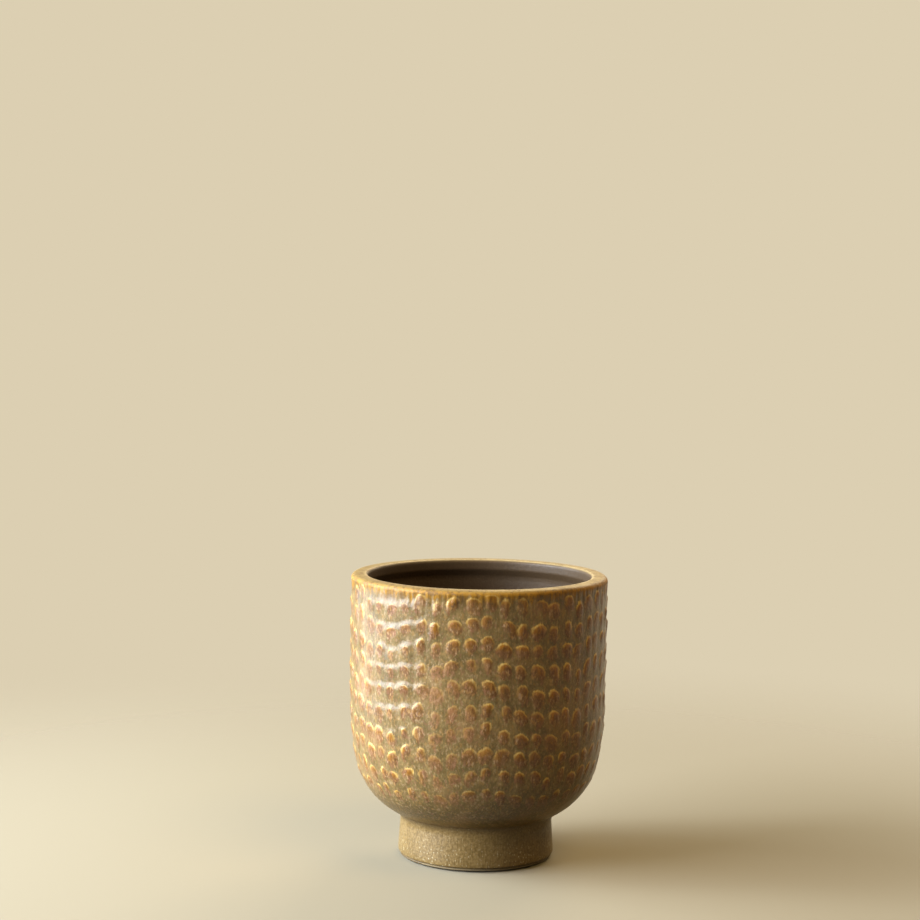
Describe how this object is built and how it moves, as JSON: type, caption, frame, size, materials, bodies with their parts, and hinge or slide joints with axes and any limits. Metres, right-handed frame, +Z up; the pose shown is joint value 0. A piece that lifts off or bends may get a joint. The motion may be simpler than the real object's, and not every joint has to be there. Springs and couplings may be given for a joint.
{
  "type": "planter pot",
  "caption": "Round footed planter pot with a broad flat rim, a short foot ring, a drain hole with a lift-out stopper and thin pads under the foot.",
  "frame": {"origin": "on the table, under the centre of the pot", "axes": "+Z up the pot's axis, out of its mouth; the pot is round, and -Y is the side that faces the camera"},
  "size_m": [0.15, 0.15, 0.166],
  "materials": {
    "glaze": "glossy taupe reactive glaze that breaks amber on the raised edges",
    "foot_glaze": "satin khaki glaze over stoneware, bare clay at the lower edge",
    "stopper_silicone": "matt grey silicone",
    "pad_felt": "charcoal pressed wool felt"
  },
  "bodies": {
    "pot": {"bowl": "glaze", "foot_ring": "foot_glaze", "foot_pad_1": "pad_felt", "foot_pad_2": "pad_felt", "foot_pad_3": "pad_felt", "foot_pad_4": "pad_felt"},
    "stopper": {"drain_stopper": "stopper_silicone"}
  },
  "joints": [
    {"name": "stopper_lift", "type": "slide", "parent": "pot", "child": "stopper", "axis": [0, 0, 1], "range_m": [0, 0.145]}
  ]
}
